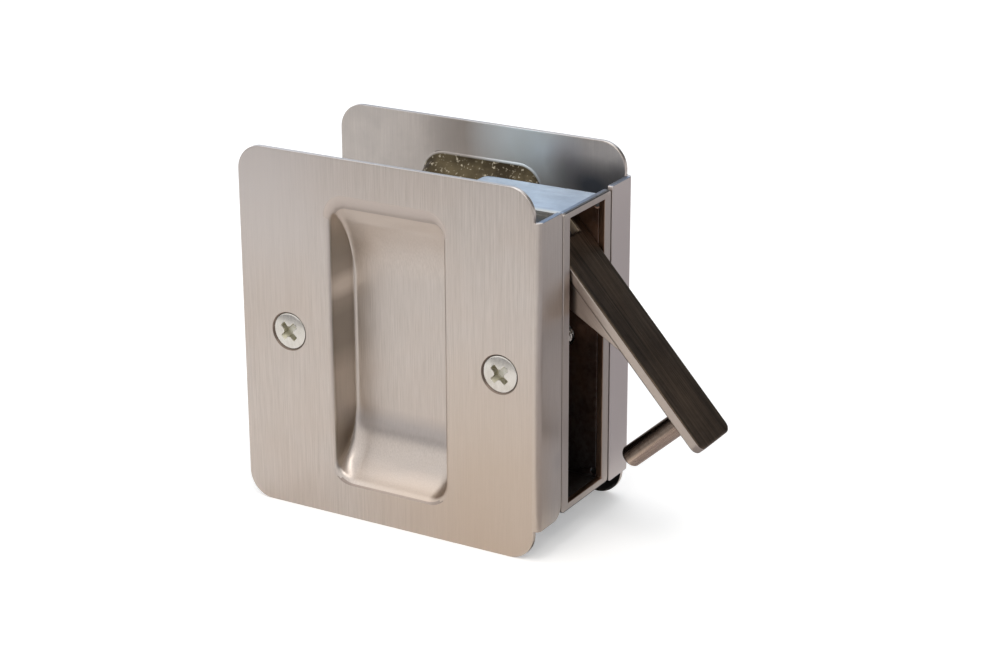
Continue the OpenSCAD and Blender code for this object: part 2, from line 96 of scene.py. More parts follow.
def maths(tree, operation, *values):
    return addNode(tree, "ShaderNodeMath", dict(enumerate(values)), operation=operation).outputs[0]


def times(tree, first, second):
    return maths(tree, "MULTIPLY", first, second)


def vectorMaths(tree, operation, *values):
    return addNode(tree, "ShaderNodeVectorMath", dict(enumerate(values)), operation=operation).outputs


def axes(tree, vector):
    return addNode(tree, "ShaderNodeSeparateXYZ", {0: vector}).outputs


def mixColour(tree, share, first, second):
    node = addNode(tree, "ShaderNodeMix", {0: share, 6: first, 7: second}, data_type="RGBA")
    return node.outputs[2]


def spread(tree, value, low, high, toLow=0.0, toHigh=1.0):
    node = addNode(tree, "ShaderNodeMapRange", {0: value, 1: low, 2: high, 3: toLow, 4: toHigh})
    return node.outputs[0]


def ramp(tree, value, start, length):  # rises over a length, which may point back
    return spread(tree, value, start, maths(tree, "ADD", start, length))


def noise(tree, vector, scale, detail, roughness=0.6):
    inputs = {"Vector": vector, "Scale": scale, "Detail": detail, "Roughness": roughness}
    return addNode(tree, "ShaderNodeTexNoise", inputs).outputs[0]


def newGroup(name, inputs):  # every group takes the place in mm as its vector
    group = bpy.data.node_groups.new(name, "ShaderNodeTree")
    for title, value in {"Vector": (0, 0, 0), **inputs}.items():
        kind = "NodeSocketFloat" if isinstance(value, float) else "NodeSocketVector"
        group.interface.new_socket(title, in_out="INPUT", socket_type=kind).default_value = value
    return group, group.nodes.new("NodeGroupInput").outputs


def putOut(group, **results):
    for title in results:
        group.interface.new_socket(title, in_out="OUTPUT", socket_type="NodeSocketFloat")
    sockets = group.nodes.new("NodeGroupOutput").inputs
    for title, result in results.items():
        group.links.new(result, sockets[title])
    return group


def placeGroup(tree, group, inputs):
    return addNode(tree, "ShaderNodeGroup", inputs, node_tree=group).outputs


# brushing that runs along the vector's Z
grainForm = {"wideDetail": 4.0, "wideRough": 0.7, "finer": 4.5, "fineDetail": 2.0, "contrast": (0.3, 0.7)}


def buildGrainGroup():
    g = grainForm
    inputs = {"Fineness": 2.0, "Stretch": 50.0}
    group, given = newGroup("brushedGrain", inputs)
    along = maths(group, "DIVIDE", given["Fineness"], given["Stretch"])
    rates = {0: given["Fineness"], 1: given["Fineness"], 2: along}
    scale = addNode(group, "ShaderNodeCombineXYZ", rates).outputs[0]
    drawn = vectorMaths(group, "MULTIPLY", given["Vector"], scale)[0]
    wide = noise(group, drawn, 1.0, g["wideDetail"], g["wideRough"])
    fine = noise(group, drawn, g["finer"], g["fineDetail"])
    streak = spread(group, wide, *g["contrast"])
    return putOut(group, Streak=streak, Height=maths(group, "ADD", wide, fine))


# soft clouds and fine specks of tarnish
tarnishForm = {
    "cloudDetail": 5.0, "cloud": (0.38, 0.66), "finer": 9.0, "speckDetail": 3.0, "speck": (0.58, 0.7),
}


def buildTarnishGroup():
    t = tarnishForm
    group, given = newGroup("tarnish", {"Size": 10.0})
    rate = maths(group, "DIVIDE", 1.0, given["Size"])
    clouds = noise(group, given["Vector"], rate, t["cloudDetail"])
    specks = noise(group, given["Vector"], times(group, rate, t["finer"]), t["speckDetail"])
    cloud, speck = spread(group, clouds, *t["cloud"]), spread(group, specks, *t["speck"])
    return putOut(group, Cloud=cloud, Speck=speck)


# rubbed outer edges, broken up by noise
wearForm = {"flat": 0.5, "start": 0.51, "scale": 1.3, "detail": 3.0, "breaks": (0.3, 0.6), "least": 0.25}


def buildWearGroup():
    w = wearForm
    group, given = newGroup("edgeWear", {"Reach": 0.08})
    pointed = addNode(group, "ShaderNodeNewGeometry").outputs["Pointiness"]
    ridge = spread(group, pointed, w["start"], maths(group, "ADD", w["flat"], given["Reach"]))
    rubbed = noise(group, given["Vector"], w["scale"], w["detail"])
    broken = spread(group, rubbed, *w["breaks"], w["least"], 1.0)
    return putOut(group, Mask=times(group, ridge, broken))


# a soft round mark, made oval by the squeeze
def buildPatchGroup():
    inputs = {"Centre": (0, 0, 0), "Squeeze": (1, 1, 1), "Reach": 5.0, "Core": 1.0, "Amount": 1.0}
    group, given = newGroup("softPatch", inputs)
    offset = vectorMaths(group, "SUBTRACT", given["Vector"], given["Centre"])[0]
    squeezed = vectorMaths(group, "MULTIPLY", offset, given["Squeeze"])[0]
    away = vectorMaths(group, "LENGTH", squeezed)["Value"]
    return putOut(group, Mask=spread(group, away, given["Reach"], given["Core"], 0.0, given["Amount"]))


# the case's inside: between its sides, ends and back, and over the lips at its front
insideForm = {"fade": 0.04, "mouthFade": 0.1}


def buildInsideGroup():
    fade, mouthFade = insideForm["fade"], insideForm["mouthFade"]
    inputs = {"Side": 6.0, "End": 27.0, "Back": -20.0, "Front": 1.0}
    group, given = newGroup("caseInside", inputs)
    x, y, z = axes(group, given["Vector"])
    between = ramp(group, maths(group, "ABSOLUTE", y), given["Side"], -fade)
    ends = ramp(group, maths(group, "ABSOLUTE", z), given["End"], -fade)
    back = ramp(group, x, given["Back"], fade)
    mouth = spread(group, x, maths(group, "SUBTRACT", given["Front"], mouthFade), given["Front"])
    area = times(group, maths(group, "MAXIMUM", between, mouth), ends)
    return putOut(group, Mask=times(group, area, back))


# upper and lower ends of a sheet
endForm = {"rise": 0.12, "sideFade": 0.1}


def buildEndGroup():
    group, given = newGroup("endEdges", {"From": 28.0, "Side": 10.0})
    y, z = axes(group, given["Vector"])[1:]
    ends = ramp(group, maths(group, "ABSOLUTE", z), given["From"], endForm["rise"])
    between = ramp(group, maths(group, "ABSOLUTE", y), given["Side"], -endForm["sideFade"])
    return putOut(group, Mask=times(group, ends, between))


# grows from one height to another
def buildRiseGroup():
    group, given = newGroup("upperFade", {"From": 0.0, "To": 10.0})
    up = axes(group, given["Vector"])[2]
    return putOut(group, Mask=spread(group, up, given["From"], given["To"]))


grainGroup = buildGrainGroup()
tarnishGroup = buildTarnishGroup()
wearGroup = buildWearGroup()
patchGroup = buildPatchGroup()
insideGroup = buildInsideGroup()
endGroup = buildEndGroup()
riseGroup = buildRiseGroup()
print("node groups made:", len(bpy.data.node_groups))


def newMaterial(name):
    material = bpy.data.materials.new(name)
    material.use_nodes = True
    tree = material.node_tree
    return material, tree, tree.nodes["Principled BSDF"]


def placeInMm(tree):
    place = addNode(tree, "ShaderNodeTexCoord").outputs["Object"]
    return vectorMaths(tree, "MULTIPLY", place, (1 / mm,) * 3)[0]


def addPaintedLightAndShade(tree, inMm, colour, paintedLightAndShade):  # painted soft patches of light and shade
    for patch in paintedLightAndShade:
        inputs = {key.title(): value for key, value in patch.items() if key != "colour"}
        share = placeGroup(tree, patchGroup, {"Vector": inMm, **inputs})["Mask"]
        colour = mixColour(tree, share, colour, patch["colour"])
    return colour


def addTopShade(tree, colour, shade):  # painted dark reflection on the upper side
    facing = addNode(tree, "ShaderNodeTexCoord").outputs["Normal"]
    share = spread(tree, axes(tree, facing)[2], shade["from"], shade["to"], 0.0, shade["amount"])
    return mixColour(tree, share, colour, shade["colour"])


def addCupBackBrown(tree, inMm, stain, colour, mark):  # brown mottled colour on the back of the drawn cup
    off = maths(tree, "ABSOLUTE", axes(tree, inMm)[1])
    area = spread(tree, off, mark["from"], mark["to"])
    brown = mixColour(tree, stain["Cloud"], mark["deep"], mark["pale"])
    brown = mixColour(tree, stain["Speck"], brown, mark["speck"])
    return mixColour(tree, area, colour, brown)


def addInside(tree, inMm, stain, colour, inner):  # brown inside of the case
    inputs = {key.title(): inner[key] for key in ("side", "end", "back", "front")}
    area = placeGroup(tree, insideGroup, {"Vector": inMm, **inputs})["Mask"]
    brown = mixColour(tree, stain["Cloud"], inner["deep"], inner["pale"])
    if "low" in inner:  # darker towards the bottom
        low = inner["low"]
        share = spread(tree, axes(tree, inMm)[2], low["from"], low["to"])
        brown = mixColour(tree, share, brown, low["colour"])
    return mixColour(tree, area, colour, brown), area


def addEndReflection(tree, inMm, colour, tint):  # painted bluish sky reflection on the top and bottom edges
    area = placeGroup(tree, endGroup, {"Vector": inMm, "From": tint["from"], "Side": tint["side"]})["Mask"]
    tinted = tint["colour"]
    if "seamShade" in tint:  # painted shade along the front corner
        seamShade = tint["seamShade"]
        corner = spread(tree, axes(tree, inMm)[0], seamShade["from"], seamShade["to"])
        tinted = mixColour(tree, corner, tinted, seamShade["colour"])
    return mixColour(tree, area, colour, tinted)


metalDefaults = {
    "metallic": 1.0, "anisotropic": 0.0, "roundAxis": "Z", "grainTurn": (0, 0, 0), "grainDepth": 0.03,
    "wearReach": 0.1, "wearAmount": 0.6, "paintedLightAndShade": [],
}


def metal(name, changes):
    look = {**metalDefaults, **changes}
    material, tree, shader = newMaterial(name)
    shader.inputs["Metallic"].default_value = look["metallic"]
    shader.inputs["Anisotropic"].default_value = look["anisotropic"]
    inMm = placeInMm(tree)
    turned = addNode(tree, "ShaderNodeMapping", {"Vector": inMm, "Rotation": look["grainTurn"]}).outputs[0]
    grain = placeGroup(
        tree, grainGroup, {"Vector": turned, "Fineness": look["fineness"], "Stretch": look["stretch"]})
    stain = placeGroup(tree, tarnishGroup, {"Vector": inMm, "Size": look["stainSize"]})
    wear = placeGroup(tree, wearGroup, {"Vector": inMm, "Reach": look["wearReach"]})
    colour = mixColour(tree, grain["Streak"], look["dark"], look["light"])
    colour = mixColour(tree, times(tree, stain["Cloud"], look["stainAmount"]), colour, look["stain"])
    rough = spread(tree, grain["Streak"], 0.0, 1.0, *look["rough"])
    colour = addPaintedLightAndShade(tree, inMm, colour, look["paintedLightAndShade"])
    if "topShade" in look:
        colour = addTopShade(tree, colour, look["topShade"])
    if "softTop" in look:  # the sheen fades out towards the top, where a painted colour of light and shade mixes in
        ease = look["softTop"]
        heights = {"From": ease["from"], "To": ease["to"]}
        share = placeGroup(tree, riseGroup, {"Vector": inMm, **heights})["Mask"]
        shine = spread(tree, share, 0.0, 1.0, look["metallic"], ease["metallic"])
        tree.links.new(shine, shader.inputs["Metallic"])
        rough = addNode(tree, "ShaderNodeMix", {0: share, 2: rough, 3: ease["rough"]}).outputs[0]
        colour = mixColour(tree, times(tree, share, ease["amount"]), colour, ease["colour"])
    if "cupBackBrown" in look:
        colour = addCupBackBrown(tree, inMm, stain, colour, look["cupBackBrown"])
    if "inside" in look:
        inner = look["inside"]
        colour, area = addInside(tree, inMm, stain, colour, inner)
        if "metallic" in inner:
            shine = spread(tree, area, 0.0, 1.0, look["metallic"], inner["metallic"])
            tree.links.new(shine, shader.inputs["Metallic"])
    if "endReflection" in look:
        colour = addEndReflection(tree, inMm, colour, look["endReflection"])
    colour = mixColour(tree, times(tree, wear["Mask"], look["wearAmount"]), colour, look["worn"])
    tree.links.new(colour, shader.inputs["Base Color"])
    tree.links.new(rough, shader.inputs["Roughness"])
    relief = {"Strength": look["bump"], "Distance": look["grainDepth"] * mm, "Height": grain["Height"]}
    tree.links.new(addNode(tree, "ShaderNodeBump", relief).outputs[0], shader.inputs["Normal"])
    if look["anisotropic"]:
        tangent = addNode(tree, "ShaderNodeTangent", direction_type="RADIAL", axis=look["roundAxis"])
        tree.links.new(tangent.outputs[0], shader.inputs["Tangent"])
    return material


def softMaterial(name, look):  # rubber and nylon
    material, tree, shader = newMaterial(name)
    stain = placeGroup(tree, tarnishGroup, {"Vector": placeInMm(tree), "Size": look["stainSize"]})
    colour = mixColour(tree, stain["Cloud"], look["dark"], look["light"])
    tree.links.new(colour, shader.inputs["Base Color"])
    tree.links.new(spread(tree, stain["Cloud"], 0.0, 1.0, *look["rough"]), shader.inputs["Roughness"])
    relief = {"Strength": look["bump"], "Distance": look["speckDepth"] * mm, "Height": stain["Speck"]}
    tree.links.new(addNode(tree, "ShaderNodeBump", relief).outputs[0], shader.inputs["Normal"])
    return material


joint = frame["joints"][0]
openAngle = math.radians(joint["range_deg"][1])
pivot = Vector(joint["pos_m"]) / mm
pullTurn = (0, openAngle, 0)  # brings the open pull's length onto Z

plateFinish = {
    "light": linear(213, 203, 196), "dark": linear(190, 180, 172),
    "worn": linear(214, 205, 197), "wearAmount": 0.3,
    "rough": (0.3, 0.38), "fineness": 5.0, "stretch": 40.0, "bump": 0.14, "anisotropic": 0.5,
    "stain": linear(200, 183, 170), "stainSize": 26.0, "stainAmount": 0.4,
}
# painted sky reflection for the top and bottom edges of the sheets
paintedSkyBlue = linear(112, 126, 146)
satinNickel = metal("satinNickel", dict(
    plateFinish, endReflection={"from": 28.85, "side": 16.3, "colour": paintedSkyBlue},
    paintedLightAndShade=[
        # painted warmer light on the lower right
        {"centre": (-8, -17.5, -26), "squeeze": (1, 6, 1), "reach": 34.0, "core": 8.0,
         "amount": 0.7, "colour": linear(203, 184, 166)},
        # painted cooler light on the upper left
        {"centre": (-60, -17.5, 30), "squeeze": (1, 3, 1), "reach": 26.0, "core": 4.0,
         "amount": 0.8, "colour": linear(212, 204, 200)},
        # painted lighter sheen on the flange at the rear
        {"centre": (0, 13, 0), "squeeze": (1, 1, 0.1), "reach": 5.5, "core": 4.0,
         "amount": 0.9, "colour": linear(216, 205, 202)},
        # a painted dark reflection band where the scoop begins
        {"centre": (-31.75, -10.3, -17.6), "squeeze": (0.06, 1, 1), "reach": 3.2, "core": 0.4,
         "amount": 0.55, "colour": linear(162, 156, 156)},
    ],
))
dullTop = {"from": 17.0, "to": 24.5, "metallic": 0.3, "rough": 0.55, "amount": 0.85}  # dull from the press; the colour mixed in is painted light on the slope and painted shade on the roll
# cupTop's paler colour is painted light on the shaded slope
cupTop = metal("cupTop", dict(plateFinish, softTop=dict(dullTop, colour=linear(217, 203, 192))))
# cupRoll's darker colour is painted shade on the rolled edge
cupRoll = metal("cupRoll", dict(plateFinish, softTop=dict(dullTop, colour=linear(183, 171, 164))))
# painted shade line along the cup's lower lip
cupLipShade = metal("cupLipShade", dict(plateFinish, light=linear(166, 152, 144), dark=linear(150, 137, 129)))
plateBack = metal("plateBack", dict(
    plateFinish, light=linear(208, 200, 194), dark=linear(196, 188, 182), stain=linear(176, 170, 166),
    stainSize=7.0, anisotropic=0.0, metallic=0.82,
    paintedLightAndShade=[
        # a painted grey reflection at the upper left
        {"centre": (-35, 16.5, 33), "reach": 11.0, "core": 2.0,
         "amount": 0.6, "colour": linear(150, 143, 138)},
        # a painted bluish highlight
        {"centre": (-22.5, 16.5, 32.5), "reach": 13.0, "core": 3.0,
         "amount": 1.0, "colour": linear(234, 247, 255)},
        # a painted dark reflection
        {"centre": (-13, 16.5, 30.5), "reach": 5.5, "core": 1.0,
         "amount": 0.8, "colour": linear(160, 155, 156)},
        # a painted dark bluish reflection of the case
        {"centre": (-8, 16.5, 26), "squeeze": (0.6, 1, 1), "reach": 6.0, "core": 1.0,
         "amount": 0.9, "colour": linear(82, 90, 102)},
        # a painted darker reflection at the right end
        {"centre": (-2, 16.5, 28.5), "reach": 4.0, "core": 1.0,
         "amount": 0.6, "colour": linear(110, 110, 114)},
        # a painted shadow on the lower corner
        {"centre": (-2, 16.5, -32), "reach": 8.0, "core": 5.0,
         "amount": 0.95, "colour": linear(38, 35, 32)},
    ],
    cupBackBrown={"from": 16.46, "to": 16.3, "deep": linear(50, 42, 28), "pale": linear(88, 78, 58),
               "speck": linear(176, 166, 146)},
))
cupWall = metal("cupWall", dict(  # the drawn walls carry painted dark reflections and shade, and one painted bright reflection band
    plateFinish, light=linear(210, 200, 189), dark=linear(192, 183, 172),
    paintedLightAndShade=[
        {"centre": (-43.5, -13, 17.5), "squeeze": (1, 0.3, 1), "reach": 6.5, "core": 2.0,
         "amount": 0.7, "colour": linear(168, 161, 150)},
        {"centre": (-43.5, -13, 1), "squeeze": (1, 0.3, 1), "reach": 8.0, "core": 3.0,
         "amount": 0.85, "colour": linear(162, 154, 144)},
        {"centre": (-42.5, -13, -20), "squeeze": (1, 0.5, 1), "reach": 6.0, "core": 1.0,
         "amount": 0.8, "colour": linear(140, 126, 111)},
        {"centre": (-43.5, -13, 9.8), "squeeze": (1, 0.3, 1), "reach": 2.8, "core": 0.8,
         "amount": 0.9, "colour": linear(246, 237, 226)},
    ],
))
rimNickel = metal("rimNickel", dict(
    plateFinish, light=linear(198, 187, 180), dark=linear(184, 174, 167), wearReach=0.06,
    # the brown on the rim's inner faces is a painted reflection of the case's inside
    inside={"side": 6.58, "end": 27.28, "back": -9.0, "front": 1.0,  # past its face, for it has no lips
            "deep": linear(124, 94, 76), "pale": linear(164, 132, 110)},
    endReflection={"from": 28.3, "side": 9.5, "colour": paintedSkyBlue,
             "seamShade": {"from": -0.5, "to": -0.42, "colour": linear(44, 46, 50)}},
))
# painted shade in the countersinks
sinkShadeNickel = metal("sinkShadeNickel", dict(
    plateFinish, light=linear(120, 104, 92), dark=linear(84, 72, 63), anisotropic=0.0, rough=(0.35, 0.5),
))
# the pull's face is painted dark, a painted dark reflection; its sides keep the nickel colour
pullFacePaintedDark = metal("pullFacePaintedDark", {
    "light": linear(112, 95, 80), "dark": linear(38, 32, 28),
    "worn": linear(150, 136, 122), "wearAmount": 0.3,
    "rough": (0.34, 0.46), "fineness": 2.4, "stretch": 50.0, "bump": 0.25,
    "anisotropic": 0.4, "roundAxis": "X", "grainTurn": pullTurn,
    "stain": linear(50, 41, 36), "stainSize": 8.0, "stainAmount": 0.4,
})
pullSide = metal("pullSide", dict(
    plateFinish, light=linear(192, 179, 169), dark=linear(172, 160, 151), anisotropic=0.3, roundAxis="X",
    grainTurn=pullTurn,
))
notchPaintedLight = metal("notchPaintedLight", dict(  # painted light on the notch's walls, which sit in shade
    plateFinish, light=linear(236, 214, 184), dark=linear(214, 192, 162), metallic=0.2, anisotropic=0.0,
))
studNickel = metal("studNickel", dict(
    plateFinish, light=linear(214, 188, 168), dark=linear(192, 167, 148), rough=(0.22, 0.3),
    anisotropic=0.0, grainTurn=(0, openAngle - math.pi / 2, 0),
    topShade={"from": -0.22, "to": 0.0, "amount": 0.9, "colour": linear(84, 72, 64)},
))
zincSheet = metal("zincSheet", {
    "light": linear(182, 195, 209), "dark": linear(154, 167, 184),
    "worn": linear(220, 226, 232), "wearAmount": 0.2, "metallic": 0.75,
    "rough": (0.34, 0.5), "fineness": 0.8, "stretch": 6.0, "bump": 0.1, "grainTurn": (0, math.pi / 2, 0),
    "stain": linear(128, 140, 156), "stainSize": 6.0, "stainAmount": 0.4,
    "paintedLightAndShade": [  # painted light on the side beside the top
        {"centre": (-4.5, -7.2, 27.6), "squeeze": (0.15, 1, 1), "reach": 1.8, "core": 0.6,
         "amount": 0.85, "colour": linear(206, 203, 195)},
    ],
    # where the brown reaches forward over the lips at the front, it is painted shade
    "inside": {"side": 6.58, "end": 27.7, "back": -24.68, "front": -2.4, "metallic": 0.8,
               "deep": linear(84, 57, 41), "pale": linear(124, 90, 68),
               "low": {"from": 4.0, "to": -24.0, "colour": linear(46, 29, 18)}},
})
screwFinish = {
    "light": linear(232, 227, 220), "dark": linear(214, 208, 200), "worn": linear(238, 235, 230),
    "rough": (0.14, 0.24), "fineness": 1.5, "stretch": 4.0, "bump": 0.06,
    "stain": linear(170, 162, 146), "stainSize": 3.0, "stainAmount": 0.25,
}
screwNickel = metal("screwNickel", screwFinish)
recessNickel = metal("recessNickel", dict(
    screwFinish, light=linear(216, 212, 192), dark=linear(182, 178, 158), rough=(0.35, 0.5),
    stainAmount=0.4,
))
brightSteel = metal("brightSteel", {
    "light": linear(206, 202, 194), "dark": linear(176, 170, 160), "worn": linear(228, 226, 222),
    "rough": (0.22, 0.36), "fineness": 2.0, "stretch": 5.0, "bump": 0.08,
    "stain": linear(140, 126, 104), "stainSize": 4.0, "stainAmount": 0.35,
})
blackRubber = softMaterial("blackRubber", {
    "light": linear(44, 43, 41), "dark": linear(26, 25, 24), "rough": (0.55, 0.75),
    "stainSize": 2.0, "bump": 0.3, "speckDepth": 0.05,
})
whiteNylon = softMaterial("whiteNylon", {
    "light": linear(224, 220, 206), "dark": linear(206, 200, 184), "rough": (0.4, 0.55),
    "stainSize": 3.0, "bump": 0.1, "speckDepth": 0.05,
})
print("materials made:", len(bpy.data.materials))


# mesh helpers, all in mm
fineEdges = {"segments": 2, "angle": 35.0}


def softenEdges(piece, width, segments=3, angle=40.0):
    bevel = piece.modifiers.new("edges", "BEVEL")
    bevel.width = width * mm
    bevel.segments = segments
    bevel.limit_method = "ANGLE"
    bevel.angle_limit = math.radians(angle)
    bevel.use_clamp_overlap = False
    piece.modifiers.new("normals", "WEIGHTED_NORMAL")


def meshObject(name, bm, materials):
    bmesh.ops.scale(bm, vec=(mm, mm, mm), verts=bm.verts)
    mesh = bpy.data.meshes.new(name)
    bm.to_mesh(mesh)
    bm.free()
    for material in materials:
        mesh.materials.append(material)
    mesh.shade_smooth()
    thing = bpy.data.objects.new(name, mesh)
    scene.collection.objects.link(thing)
    return thing


def makePiece(name, bm, materials, body, node):
    piece = meshObject(name, bm, materials)
    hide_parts(node)
    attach(piece, body)
    return piece


def arc(x, z, radius, start, end, steps):
    turns = [math.radians(start + (end - start) * i / steps) for i in range(steps + 1)]
    return [(x + radius * math.cos(a), z + radius * math.sin(a)) for a in turns]


def roundedRect(width, height, radius, steps=6):
    x, z = width / 2 - radius, height / 2 - radius
    corners = [(x, z, 0), (-x, z, 90), (-x, -z, 180), (x, -z, 270)]
    return [p for cx, cz, start in corners for p in arc(cx, cz, radius, start, start + 90, steps)]


def offsetLoop(points, distance):  # moves a counter-clockwise loop inwards
    moved = []
    for i, point in enumerate(points):
        before, here, after = Vector(points[i - 1]), Vector(point), Vector(points[(i + 1) % len(points)])
        first, second = (here - before).normalized(), (after - here).normalized()
        inFirst, inSecond = Vector((-first.y, first.x)), Vector((-second.y, second.x))
        both = inFirst + inSecond
        moved.append(here + both * (2 * distance / both.length_squared))
    return moved


def bridge(bm, first, second):
    count = len(first)
    return [
        bm.faces.new((first[i], first[(i + 1) % count], second[(i + 1) % count], second[i]))
        for i in range(count)
    ]


def loopEdges(bm, loop):
    return [bm.edges.get((loop[i], loop[(i + 1) % len(loop)])) for i in range(len(loop))]


def prism(bm, outline, place, start, end):  # an outline carried along, with both ends closed
    low = [bm.verts.new(place(u, v, start)) for u, v in outline]
    high = [bm.verts.new(place(u, v, end)) for u, v in outline]
    sides = bridge(bm, low, high)
    bm.faces.new(list(reversed(low)))
    bm.faces.new(high)
    return sides


def lathe(bm, profile, place, steps):  # profile is radius and distance along the axis
    rings = []
    for radius, along in profile:
        count = steps if radius > 0 else 1
        turns = [2 * math.pi * k / steps for k in range(count)]
        spots = [Vector((radius * math.cos(a), radius * math.sin(a), along)) for a in turns]
        rings.append([bm.verts.new(place @ spot) for spot in spots])
    for first, second in zip(rings, rings[1:]):
        for k in range(steps):
            j = (k + 1) % steps
            around = ((first, k), (first, j), (second, j), (second, k))
            corners = [ring[i % len(ring)] for ring, i in around]
            bm.faces.new(list(dict.fromkeys(corners)))
    return rings


def axisPlace(origin, direction):
    return Matrix.Translation(origin) @ Vector(direction).to_track_quat("Z", "Y").to_matrix().to_4x4()


def outward(bm):
    bmesh.ops.recalc_face_normals(bm, faces=bm.faces)


# face plates
plateForm = {
    "sheet": 1.0, "cornerRadius": 5.0, "cornerSteps": 16, "bendRadius": 1.2, "bendSteps": 8,
    "flangeWidth": 8.2, "flangeHeight": 58.0, "frontCorner": 2.6, "rearCorner": 0.6, "freeSteps": 10,
    "upperCorner": 0.4, "upperSteps": 4, "edgeBand": 0.3, "inset": 0.01,
    "edgeRadius": 0.09, "edgeSegments": 2, "edgeAngle": 50.0,
}
cupForm = {
    "width": 24.0, "height": 54.8, "drop": 0.7, "depth": 7.3, "corner": 4.5, "deepCorner": 1.0,
    "scoopCorner": 3.4, "blend": 1.2, "floor": 0.8, "draft": 0.3, "topRadius": 19.5, "lowRadius": 13.6,
    "soft": 1.4, "lowSoft": 0.25, "cornerSteps": 12, "blendSteps": 8, "levels": 26,
    "wallFacing": 0.85, "topFrom": 15.0, "lipBelow": -27.2, "lipFrom": 0.01, "lipTo": 0.3,  # finishes
}
screwForm = {
    "near": 8.1, "far": 53.3, "thread": 3.5, "head": 6.9, "headAngle": 82.0, "sink": 0.25,
    "crown": 0.4, "crownSteps": 12, "rimBand": 0.06, "neck": 0.6, "sides": 40, "edgeRadius": 0.04,
    "recessWidth": 1.1, "recessLength": 4.2, "recessDepth": 1.6, "recessFillet": 0.35,
    "recessTaper": 0.55, "recessFlare": 1.1, "recessAbove": 0.5, "recessTurn": 45.0,
    "pitch": 0.8, "threadDepth": 0.32, "threadStart": 0.8, "threadInset": 0.01, "tip": 0.2,
    "rowsPerTurn": 10, "fadeRows": 8,
}
sinkForm = {
    "rimGap": 0.05, "holeGap": 0.35, "land": 0.2, "sides": 48,
    "roll": ((0.16, 0), (0.06, 0.03), (0, 0.1)),  # how far out and how deep
}
plateFinishes = (satinNickel, sinkShadeNickel, cupWall, cupTop, cupRoll, cupLipShade)
frontLow, frontHigh = boxMm("front_plate")
plateWidth, plateHeight = -frontLow.x, frontHigh.z - frontLow.z
halfOver = -frontLow.y
screwPlaces = (-screwForm["near"], -screwForm["far"])
headSlope = math.tan(math.radians(screwForm["headAngle"] / 2))
sinkRadius = screwForm["head"] / 2 + screwForm["sink"] * headSlope + sinkForm["rimGap"]
holeRadius = screwForm["thread"] / 2 + sinkForm["holeGap"]


def slotOf(finish):  # each finish is followed by the plate's back
    return 2 * plateFinishes.index(finish)


def wallInset(depth):
    edge, floor, draft, full = (cupForm[key] for key in ("blend", "floor", "draft", "depth"))
    if depth < edge:
        return math.sqrt(edge ** 2 - (edge - depth) ** 2)
    if depth < full - floor:
        return edge + draft * (depth - edge) / (full - edge - floor)
    return edge + draft + floor - math.sqrt(max(0.0, floor ** 2 - (depth - full + floor) ** 2))


def endRun(depth, radius):  # length of the curve at a cup's end, down to the floor
    return math.sqrt(radius ** 2 - (radius - cupForm["depth"] + depth) ** 2)


def cupRing(depth):
    c = cupForm
    half = c["width"] / 2 + c["blend"] - wallInset(depth)
    ease = (1 - depth / c["depth"]) ** 3
    upper, lower = (deep + (c["corner"] - deep) * ease for deep in (c["deepCorner"], c["scoopCorner"]))
    soft = c["soft"] * max(0.0, 1 - depth / c["blend"]) ** 2
    upRun = endRun(depth, c["topRadius"]) - endRun(0, c["topRadius"]) + soft
    downRun = endRun(depth, c["lowRadius"]) - endRun(0, c["lowRadius"]) + soft * c["lowSoft"]
    top = c["height"] / 2 - c["drop"] + upRun - upper
    base = -c["height"] / 2 - c["drop"] - downRun + lower
    middle = -plateWidth / 2
    corners = [
        (middle + half - upper, top, upper, 0), (middle - half + upper, top, upper, 90),
        (middle - half + lower, base, lower, 180), (middle + half - lower, base, lower, 270),
    ]
    return [p for x, z, r, start in corners for p in arc(x, z, r, start, start + 90, c["cornerSteps"])]


def cupDepths():
    c = cupForm
    turns = [math.pi / 2 * i / c["blendSteps"] for i in range(c["blendSteps"] + 1)]
    edge = [c["blend"] * (1 - math.cos(a)) for a in turns]
    run = c["depth"] - c["blend"]
    return edge + [c["depth"] - run * (1 - i / c["levels"]) ** 2 for i in range(1, c["levels"] + 1)]


def cupFinish(face, depth):
    c = cupForm
    face.normal_update()
    height = face.calc_center_median().z
    if abs(face.normal.x) > c["wallFacing"]:
        return cupWall
    if height > c["topFrom"]:
        return cupTop if depth >= c["blend"] else cupRoll
    if height < c["lipBelow"] and c["lipFrom"] < depth < c["lipTo"]:
        return cupLipShade
    return satinNickel


def drawCup(bm, vert):
    depths = cupDepths()
    rings = [[vert(x, depth, z) for x, z in cupRing(depth)] for depth in depths]
    for first, second, depth in zip(rings, rings[1:], depths):
        for f in bridge(bm, first, second):
            f.material_index = slotOf(cupFinish(f, depth))
    bm.faces.new(rings[-1])
    return rings[0]


def drillHole(bm, vert, x):
    s = sinkForm
    sinkDepth = (sinkRadius - holeRadius) / headSlope
    steps = [(sinkRadius + out, depth) for out, depth in s["roll"]]
    steps += [(holeRadius, sinkDepth), (holeRadius, sinkDepth + s["land"])]
    last, gaps = 360 - 360 / s["sides"], s["sides"] - 1
    rings = [[vert(u, depth, w) for u, w in arc(x, 0, r, 0, last, gaps)] for r, depth in steps]
    for first, second in zip(rings, rings[1:]):
        for f in bridge(bm, first, second):
            f.material_index = slotOf(satinNickel if first is rings[0] else sinkShadeNickel)
    return rings[0]


def plateOutline():
    p = plateForm
    radius, steps = p["cornerRadius"], p["cornerSteps"]
    bend, end = -p["bendRadius"], p["flangeHeight"] / 2
    left, top = radius - plateWidth, plateHeight / 2 - radius
    lower = arc(left, -top, radius, 180, 270, steps) + arc(bend - radius, -top, radius, 270, 360, steps)
    upper = arc(bend - radius, top, radius, 0, 90, steps) + arc(left, top, radius, 90, 180, steps)
    return lower + [(bend, -end), (bend, end)] + upper


